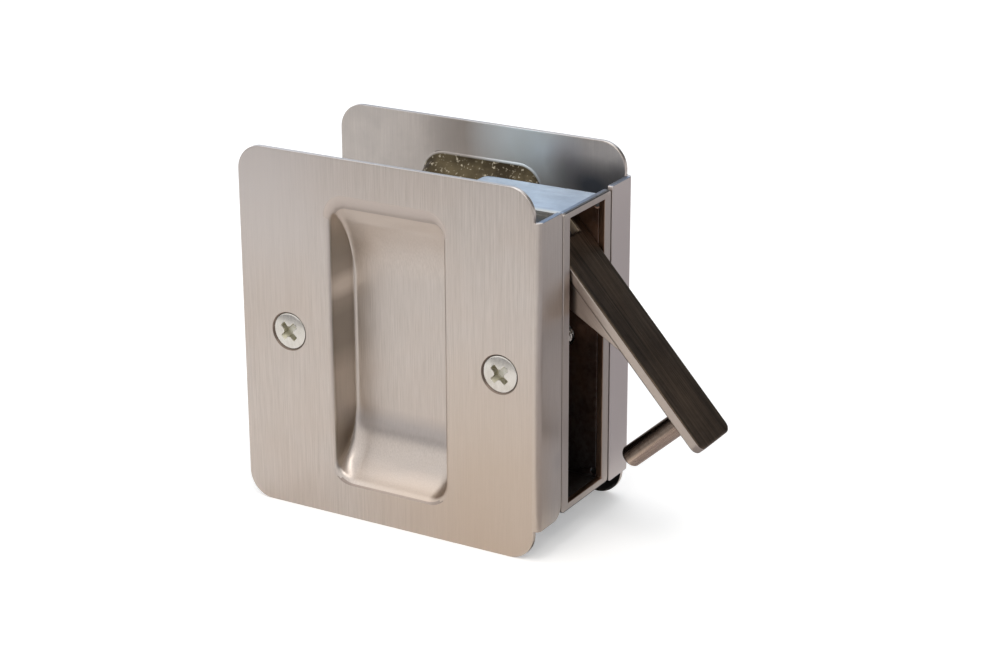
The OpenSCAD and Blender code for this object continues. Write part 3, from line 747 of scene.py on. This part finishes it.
def flangeOutline(low):  # distance from the plate's outer face, height
    p = plateForm
    end, width = p["flangeHeight"] / 2, p["flangeWidth"]
    high = p["upperCorner"]
    lower = arc(width - low, -end + low, low, 270, 360, p["freeSteps"])
    upper = arc(width - high, end - high, high, 0, 90, p["upperSteps"])
    return [(p["bendRadius"], -end)] + lower + upper + [(p["bendRadius"], end)]


def bendFlange(bm, vert, rim, freeCorner):
    p = plateForm
    bend, end, slack = p["bendRadius"], p["flangeHeight"] / 2, 1e-4
    ends = [v for v in rim if abs(v.co.x + bend) < slack and abs(abs(v.co.z) - end) < slack]
    row = sorted(ends, key=lambda v: v.co.z)
    for i in range(1, p["bendSteps"] + 1):
        turn = math.pi / 2 * i / p["bendSteps"]
        x, depth = bend * (math.sin(turn) - 1), bend * (1 - math.cos(turn))
        nextRow = [vert(x, depth, v.co.z) for v in row]
        bm.faces.new((row[0], row[1], nextRow[1], nextRow[0]))
        row = nextRow
    outer = [vert(0, depth, z) for depth, z in flangeOutline(freeCorner)[1:-1]]
    bm.faces.new([row[0]] + outer + [row[1]])


def buildPlate(side, drilled, freeCorner):
    p = plateForm
    bm = bmesh.new()

    def vert(x, depth, z):
        return bm.verts.new((x, side * (halfOver - p["inset"] - depth), z))

    outline = plateOutline()
    rim = [vert(x, 0, z) for x, z in outline]
    band = [vert(x, 0, z) for x, z in offsetLoop(outline, p["edgeBand"])]
    bridge(bm, rim, band)
    cupRim = drawCup(bm, vert)
    edges = loopEdges(bm, band) + loopEdges(bm, cupRim)
    if drilled:
        for x in screwPlaces:
            edges += loopEdges(bm, drillHole(bm, vert, x))
    bmesh.ops.triangle_fill(bm, edges=edges, use_beauty=True)
    bendFlange(bm, vert, rim, freeCorner)
    outward(bm)
    flat = max(bm.faces, key=lambda f: abs(f.normal.y) * f.calc_area())
    if flat.normal.y * side < 0:
        bmesh.ops.reverse_faces(bm, faces=bm.faces)
    return bm


for pieceName, plateName, side in (("frontPlate", "front_plate", -1), ("rearPlate", "rear_plate", 1)):
    freeCorner = plateForm["frontCorner" if side < 0 else "rearCorner"]
    bm = buildPlate(side, side < 0, freeCorner)
    finishes = [f for front in plateFinishes for f in (front, plateBack)]
    plate = makePiece(pieceName, bm, finishes, "pull_set", plateName)
    shell = plate.modifiers.new("sheet", "SOLIDIFY")
    shell.thickness = plateForm["sheet"] * mm
    shell.offset = -1.0
    shell.use_even_offset = True
    shell.material_offset = 1
    softenEdges(plate, plateForm["edgeRadius"], plateForm["edgeSegments"], plateForm["edgeAngle"])
print("plates made")

# rim in the door edge
rimForm = {
    "width": 17.7, "openingWidth": 13.0, "openingHeight": 54.4, "corner": 0.8, "innerCorner": 0.4,
    "edgeRadius": 0.22,
}
rimLow, rimHigh = boxMm("edge_frame")


def buildRim():
    bm = bmesh.new()
    outer = roundedRect(rimForm["width"], rimHigh.z - rimLow.z, rimForm["corner"])
    inner = roundedRect(rimForm["openingWidth"], rimForm["openingHeight"], rimForm["innerCorner"])
    spots = [(x, loop) for x in (rimHigh.x, rimLow.x) for loop in (outer, inner)]
    loops = [[bm.verts.new((x, y, z)) for y, z in loop] for x, loop in spots]
    for first, second in ((0, 1), (2, 3), (0, 2), (1, 3)):
        bridge(bm, loops[first], loops[second])
    outward(bm)
    return bm


rim = makePiece("edgeFrame", buildRim(), [rimNickel], "pull_set", "edge_frame")
softenEdges(rim, rimForm["edgeRadius"])

# pull, drawn closed round its pivot and then swung open
barForm = {
    "width": 12.0, "thickness": 2.0, "low": -41.6, "high": 9.64, "lowCorner": 1.6, "lowSteps": 8,
    "topCorner": 0.5, "topSteps": 4, "notchWidth": 7.2, "notchFloor": 3.2, "edgeRadius": 0.42,
}
cheekForm = {
    "inside": 3.7, "thickness": 1.5, "bossRadius": 2.7, "bossSteps": 24, "low": 21.0, "high": 6.5,
    "weld": 0.2, "edgeRadius": 0.15,
}
studForm = {
    "up": 6.4, "diameter": 4.2, "length": 16.1, "domeRadius": 3.2, "domeSteps": 8, "sides": 64,
    "foot": 0.15, "footFrom": -0.05, "footTo": 0.1, "shankFrom": 0.3,  # narrower where it meets the bar
    "shoulder": 0.25, "shoulderIn": 0.1, "shoulderDip": 0.02, "edgeRadius": 0.08, "edgeSegments": 2,
}
barFinishes = [pullFacePaintedDark, pullSide, notchPaintedLight]
faceX = -pivot.x
backX = faceX - barForm["thickness"]
openPlace = Matrix.Translation(pivot) @ Matrix.Rotation(-openAngle, 4, "Y")


def barOutline():
    b = barForm
    half, low, high, floor = b["width"] / 2, b["low"], b["high"], b["notchFloor"]
    r, t, n = b["lowCorner"], b["topCorner"], b["notchWidth"] / 2
    points = arc(-half + r, low + r, r, 180, 270, b["lowSteps"])
    points += arc(half - r, low + r, r, 270, 360, b["lowSteps"])
    points += arc(half - t, high - t, t, 0, 90, b["topSteps"])
    points += [(n, high), (n, floor), (-n, floor), (-n, high)]
    return points + arc(-half + t, high - t, t, 90, 180, b["topSteps"])


def cheekOutline():
    c = cheekForm
    low, high = Vector((backX + c["weld"], -c["low"])), Vector((backX + c["weld"], c["high"]))
    lowTurn = math.atan2(low.y, low.x) - math.acos(c["bossRadius"] / low.length)
    highTurn = math.atan2(high.y, high.x) + math.acos(c["bossRadius"] / high.length)
    start, end = math.degrees(highTurn), math.degrees(lowTurn) + 360
    return [tuple(high)] + arc(0, 0, c["bossRadius"], start, end, c["bossSteps"]) + [tuple(low)]


def buildBar():
    bm = bmesh.new()
    sides = prism(bm, barOutline(), lambda y, z, x: openPlace @ Vector((x, y, z)), backX, faceX)
    wallAt, slack = barForm["notchWidth"] / 2, 0.05
    for f in sides:
        inNotch = abs(abs(f.calc_center_median().y) - wallAt) < slack
        f.material_index = barFinishes.index(notchPaintedLight if inNotch else pullSide)
    outward(bm)
    return bm


def buildCheeks():
    bm = bmesh.new()
    start = cheekForm["inside"]
    end = start + cheekForm["thickness"]
    for s in (-1, 1):
        prism(bm, cheekOutline(), lambda x, z, y: openPlace @ Vector((x, s * y, z)), start, end)
    outward(bm)
    return bm


bar = makePiece("pullBar", buildBar(), barFinishes, "pull", "edge_pull")
softenEdges(bar, barForm["edgeRadius"])
cheeks = makePiece("pullCheeks", buildCheeks(), [pullSide], "pull", "edge_pull")
softenEdges(cheeks, cheekForm["edgeRadius"])


def buildStud():
    s = studForm
    bm = bmesh.new()
    radius, length, dome = s["diameter"] / 2, s["length"], s["domeRadius"]
    domeHeight = dome - math.sqrt(dome ** 2 - radius ** 2)
    sweep = math.asin(radius / dome)
    turns = [sweep * i / s["domeSteps"] for i in range(s["domeSteps"], -1, -1)]
    crown = [(dome * math.sin(a), length - dome + dome * math.cos(a)) for a in turns]
    crown[-1] = (0, length)
    foot = [(radius - s["foot"], s["footFrom"]), (radius - s["foot"], s["footTo"])]
    shank = [(radius, s["shankFrom"]), (radius, length - domeHeight - s["shoulder"])]
    ring = (radius - s["shoulderIn"], crown[0][1] - s["shoulderDip"])
    place = openPlace @ axisPlace((backX, 0, barForm["low"] + s["up"]), (-1, 0, 0))
    lathe(bm, [(0, s["footFrom"])] + foot + shank + [ring] + crown[1:], place, s["sides"])
    outward(bm)
    return bm


stud = makePiece("pullStud", buildStud(), [studNickel], "pull", "pull_stud")
softenEdges(stud, studForm["edgeRadius"], studForm["edgeSegments"])
print("pull made")

# screws
screwFinishes = [screwNickel, recessNickel]


def crossOutline(scale):
    s = screwForm
    half, tip, fillet = s["recessWidth"] / 2, s["recessLength"] / 2 * scale, s["recessFillet"]
    points = []
    for k in range(4):
        turn = Matrix.Rotation(math.radians(s["recessTurn"] + 90 * k), 2)
        arm = [(tip, -half), (tip, half), (half + fillet, half), (half, half + fillet)]
        points += [tuple(turn @ Vector(p)) for p in arm]
    return points


def threadRows(bm, place, radius, start, end):
    s = screwForm
    steps, count = s["sides"], int((end - start) / s["pitch"] * s["rowsPerTurn"])
    rows = []
    for i in range(count + 1):
        along = start + (end - start) * i / count
        fade = min(1.0, i / s["fadeRows"], (count - i) / s["fadeRows"])
        ring = []
        for k in range(steps):
            wave = math.cos(2 * math.pi * (along / s["pitch"] - k / steps))
            deep = radius - s["threadDepth"] * (0.5 - 0.5 * wave) * fade
            a = 2 * math.pi * k / steps
            ring.append(bm.verts.new(place @ Vector((deep * math.cos(a), deep * math.sin(a), along))))
        rows.append(ring)
    for first, second in zip(rows, rows[1:]):
        bridge(bm, first, second)
    tip = bm.verts.new(place @ Vector((0, 0, end + s["tip"])))
    for k in range(steps):
        bm.faces.new((rows[-1][k], rows[-1][(k + 1) % steps], tip))
    return rows[0]


def buildScrew(x):
    s = screwForm
    bm = bmesh.new()
    place = axisPlace((x, -halfOver + s["sink"], 0), (0, 1, 0))
    head, shank = s["head"] / 2, s["thread"] / 2
    ball = (head ** 2 + s["crown"] ** 2) / (2 * s["crown"])
    radii = [head * i / s["crownSteps"] for i in range(s["crownSteps"] + 1)]
    crown = [(r, -s["crown"] + ball - math.sqrt(ball ** 2 - r ** 2)) for r in radii]
    headHeight = (head - shank) / headSlope
    cone = [(head, s["rimBand"]), (shank, headHeight), (shank, headHeight + s["neck"])]
    rings = lathe(bm, crown + cone, place, s["sides"])
    start = headHeight + s["threadStart"]
    end = boxMm("through_screws")[1].y + halfOver - s["sink"] - s["tip"]
    bridge(bm, rings[-1], threadRows(bm, place, shank - s["threadInset"], start, end))
    outward(bm)
    return bm, place


def buildRecess(place):
    s = screwForm
    tool = bmesh.new()
    topAt, bottomAt = -s["crown"] - s["recessAbove"], s["recessDepth"] - s["crown"]
    top = [tool.verts.new(place @ Vector((u, v, topAt))) for u, v in crossOutline(s["recessFlare"])]
    bottom = [tool.verts.new(place @ Vector((u, v, bottomAt))) for u, v in crossOutline(s["recessTaper"])]
    bridge(tool, top, bottom)
    tool.faces.new(list(reversed(top)))
    tool.faces.new(bottom)
    for f in tool.faces:
        f.material_index = screwFinishes.index(recessNickel)
    outward(tool)
    return tool


def carve(piece, cutter):  # cuts one mesh out of another for good
    cut = piece.modifiers.new("cut", "BOOLEAN")
    cut.object = cutter
    cut.solver = "EXACT"
    shaped = bpy.data.meshes.new_from_object(piece.evaluated_get(bpy.context.evaluated_depsgraph_get()))
    piece.modifiers.clear()
    piece.data = shaped
    bpy.data.objects.remove(cutter)


for screwName, x in zip(("nearScrew", "farScrew"), screwPlaces):
    bm, place = buildScrew(x)
    screw = makePiece(screwName, bm, screwFinishes, "pull_set", "through_screws")
    cutter = meshObject("recessCutter", buildRecess(place), screwFinishes)
    bpy.context.view_layer.update()
    carve(screw, cutter)
    screw.data.shade_smooth()
    softenEdges(screw, screwForm["edgeRadius"], **fineEdges)
print("screws made")

# return spring: a leg on the pull, the coil and a leg on the case back
springForm = {
    "wire": 0.8, "wireSides": 12, "coilRadius": 2.7, "coilWidth": 5.2, "turns": 5, "stepsPerTurn": 40,
    "legLength": 12.0, "leg": (-18.5, -9.7),
}


def springPath():
    s = springForm
    r, leg, length = s["coilRadius"], Vector(s["leg"]), s["legLength"]
    first = openAngle
    last = math.atan2(leg.y, leg.x) + 2 * math.pi - math.acos(r / leg.length) + 2 * math.pi * s["turns"]
    steps = int((last - first) / (2 * math.pi) * s["stepsPerTurn"])
    half = s["coilWidth"] / 2
    startX = r * math.cos(first) + length * math.sin(first)
    startZ = r * math.sin(first) - length * math.cos(first)
    coil = []
    for i in range(steps + 1):
        a = first + (last - first) * i / steps
        coil.append(Vector((r * math.cos(a), s["coilWidth"] * (i / steps - 0.5), r * math.sin(a))))
    return [Vector((startX, -half, startZ))] + coil + [Vector((leg.x, half, leg.y))]


def buildSpring():
    bm = bmesh.new()
    path = springPath()
    sides, radius = springForm["wireSides"], springForm["wire"] / 2
    turns = [2 * math.pi * k / sides for k in range(sides)]
    rings = []
    for i, point in enumerate(path):
        along = (path[min(i + 1, len(path) - 1)] - path[max(i - 1, 0)]).normalized()
        across = along.cross(Vector((0, 1, 0))).normalized()
        up = across.cross(along)
        spots = [pivot + point + radius * (math.cos(a) * across + math.sin(a) * up) for a in turns]
        rings.append([bm.verts.new(spot) for spot in spots])
    for first, second in zip(rings, rings[1:]):
        bridge(bm, first, second)
    bm.faces.new(rings[0])
    bm.faces.new(list(reversed(rings[-1])))
    outward(bm)
    return bm


spring = meshObject("returnSpring", buildSpring(), [brightSteel])
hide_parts("return_spring")
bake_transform(spring)
print("spring made")

# the rest keep their solids, with softened edges
keptForm = {"weld": 0.001, "edgeRadius": 0.08}
keptNodes = {
    "case_channel": zincSheet, "case_top": zincSheet, "case_bottom": zincSheet,
    "pivot_pin": brightSteel, "pivot_washers": whiteNylon, "catch_clip": brightSteel,
    "catch_rivets": brightSteel, "stud_buffer": blackRubber, "threaded_posts": brightSteel,
}
for node, material in keptNodes.items():
    solid = frame["nodes"][node]
    solid.data.materials.clear()
    solid.data.materials.append(material)
    solid.modifiers.new("joined", "WELD").merge_threshold = keptForm["weld"] * mm
    softenEdges(solid, keptForm["edgeRadius"], **fineEdges)
print("kept solids:", len(keptNodes))

# studio, in metres
studio = {
    "floorSize": 3.0, "floorColour": (0.9, 0.9, 0.9, 1), "floorLift": 0.3, "floorGap": 0.00002,
    "ambient": 0.7,
}
lamps = {
    "keyBox": {"at": (-0.55, -0.3, 0.85), "size": (0.45, 0.4), "power": 0.35, "colour": (1.0, 0.97, 0.93)},
    "topBox": {"at": (0.03, -0.12, 0.9), "size": (0.2, 0.2), "power": 0.45, "colour": (1.0, 0.98, 0.95)},
    "frontBox": {"at": (-0.05, -0.4, 0.3), "size": (0.4, 0.2), "power": 0.42,
                 "colour": (1.0, 0.95, 0.9), "mirrored": False},
    "footBox": {"at": (-0.03, -0.06, 0.07), "size": (0.1, 0.03), "power": 0.014,
                "colour": (1.0, 0.91, 0.82), "mirrored": False},
    "sparkBox": {"at": (0.4, -0.28, 0.72), "size": (0.2, 0.2), "power": 0.7, "colour": (1.0, 0.97, 0.92)},
    "backBox": {"at": (-0.2, 0.6, 0.7), "size": (0.7, 0.5), "power": 1.3, "colour": (0.8, 0.9, 1.0)},
}
cards = {  # the mats lie face up, just above the floor
    "backCard": {"at": (0.2, 0.4, 0.2), "size": (0.34, 0.36), "colour": (0.02, 0.02, 0.02),
                 "facing": (-0.2, -0.4, -0.15)},
    "horizonCard": {"at": (-0.38, -0.7, 0.01), "size": (1.2, 0.1), "colour": (0.4, 0.4, 0.42),
                    "facing": (0.38, 0.7, 0)},
    "farMat": {"at": (-0.3, -0.55, -0.0346), "size": (1.0, 0.7), "colour": (0.56, 0.56, 0.57)},
    "sideMat": {"at": (0.13, 0.065, -0.0345), "size": (0.24, 0.37), "colour": (0.43, 0.42, 0.44)},
    "rightCard": {"at": (0.55, -0.15, 0.12), "size": (0.7, 0.4), "colour": (0.03, 0.03, 0.03),
                  "facing": (-1, 0.2, -0.1)},
    "skyCard": {"at": (-0.45, 0.8, 0.32), "size": (1.1, 0.7), "colour": (0.66, 0.78, 0.95),
                "facing": (0.45, -0.8, -0.32)},
    # underShadowMat is a black sheet standing in for the shadow on the floor under the lock, seen only in
    # reflections: painted shadow
    "underShadowMat": {"at": (-0.03, 0, -0.0347), "size": (0.06, 0.03), "colour": (0.02, 0.02, 0.02)},
}


def seenDirectly(tree):  # 1 where the camera, a mirror or glass looks at the background
    path = addNode(tree, "ShaderNodeLightPath").outputs
    first = maths(tree, "MAXIMUM", path["Is Camera Ray"], path["Is Glossy Ray"])
    return maths(tree, "MAXIMUM", first, path["Is Transmission Ray"])


def flatSheet(name, place, width, height):
    w, h = width / 2, height / 2
    corners = [place @ Vector(c) for c in ((-w, -h, 0), (w, -h, 0), (w, h, 0), (-w, h, 0))]
    mesh = bpy.data.meshes.new(name)
    mesh.from_pydata(corners, [], [(0, 1, 2, 3)])
    sheet = bpy.data.objects.new(name, mesh)
    scene.collection.objects.link(sheet)
    return sheet


def makeFloor():
    place = Matrix.Translation((0, 0, cadBounds[0].z - studio["floorGap"]))
    floor = flatSheet("floor", place, studio["floorSize"], studio["floorSize"])
    material, tree, shader = newMaterial("floorPaper")
    tree.nodes.remove(shader)
    diffuse = addNode(tree, "ShaderNodeBsdfDiffuse", {"Color": studio["floorColour"]})
    looked = addNode(tree, "ShaderNodeLightPath").outputs["Is Camera Ray"]
    lift = addNode(tree, "ShaderNodeEmission", {"Strength": times(tree, looked, studio["floorLift"])})
    both = addNode(tree, "ShaderNodeAddShader", {0: diffuse.outputs[0], 1: lift.outputs[0]})
    tree.links.new(both.outputs[0], tree.nodes["Material Output"].inputs["Surface"])
    floor.data.materials.append(material)


def makeWorld():
    world = bpy.data.worlds.new("studio")
    scene.world = world
    world.use_nodes = True
    tree = world.node_tree
    background = tree.nodes["Background"]
    background.inputs["Color"].default_value = (1, 1, 1, 1)
    strength = spread(tree, seenDirectly(tree), 0, 1, studio["ambient"], 1.0)
    tree.links.new(strength, background.inputs["Strength"])


def softBox(name, at, size, power, colour, mirrored=True):
    lamp = bpy.data.lights.new(name, "AREA")
    lamp.shape = "RECTANGLE"
    lamp.size, lamp.size_y = size
    lamp.energy = power
    lamp.color = colour
    box = bpy.data.objects.new(name, lamp)
    box.visible_glossy = mirrored  # metal doesn't show a fill
    box.visible_camera = False
    box.location = at
    aim = (cadBounds[0] + cadBounds[1]) / 2 - Vector(at)
    box.rotation_euler = aim.to_track_quat("-Z", "Y").to_euler()
    scene.collection.objects.link(box)


def greyCard(name, at, size, colour, facing=(0, 0, 1)):  # a studio flag that only reflections see
    card = flatSheet(name, axisPlace(at, facing), *size)
    material, _, shader = newMaterial(name)
    shader.inputs["Base Color"].default_value = colour + (1,)
    shader.inputs["Roughness"].default_value = 1.0
    card.data.materials.append(material)
    card.visible_camera = False
    card.visible_diffuse = False
    card.visible_shadow = False


makeFloor()
makeWorld()
for lampName, lamp in lamps.items():
    softBox(lampName, **lamp)
for cardName, card in cards.items():
    greyCard(cardName, **card)
print("studio made")

# camera at the photograph's view, aimed in degrees and mm
cameraView = {
    "lens": 85.93, "sensor": 36.0, "clip": (0.01, 20.0), "azimuth": 30.315, "elevation": 19.96,
    "roll": -0.185, "right": 15.68, "up": -4.11, "distance": 432.25,
}


def makeCamera():
    v = cameraView
    azimuth, elevation = math.radians(v["azimuth"]), math.radians(v["elevation"])
    level = math.cos(elevation)
    back = Vector((math.sin(azimuth) * level, -math.cos(azimuth) * level, math.sin(elevation)))
    right = Vector((math.cos(azimuth), math.sin(azimuth), 0))
    right = Matrix.Rotation(math.radians(v["roll"]), 3, back) @ right
    up = back.cross(right)
    lens = bpy.data.cameras.new("photoView")
    lens.lens = v["lens"]
    lens.sensor_width = v["sensor"]
    lens.clip_start, lens.clip_end = v["clip"]
    camera = bpy.data.objects.new("photoView", lens)
    place = (back * v["distance"] - right * v["right"] - up * v["up"]) * mm
    camera.matrix_world = Matrix.Translation(place) @ Matrix((right, up, back)).transposed().to_4x4()
    scene.collection.objects.link(camera)
    scene.camera = camera


makeCamera()
scene.view_settings.view_transform = "Standard"
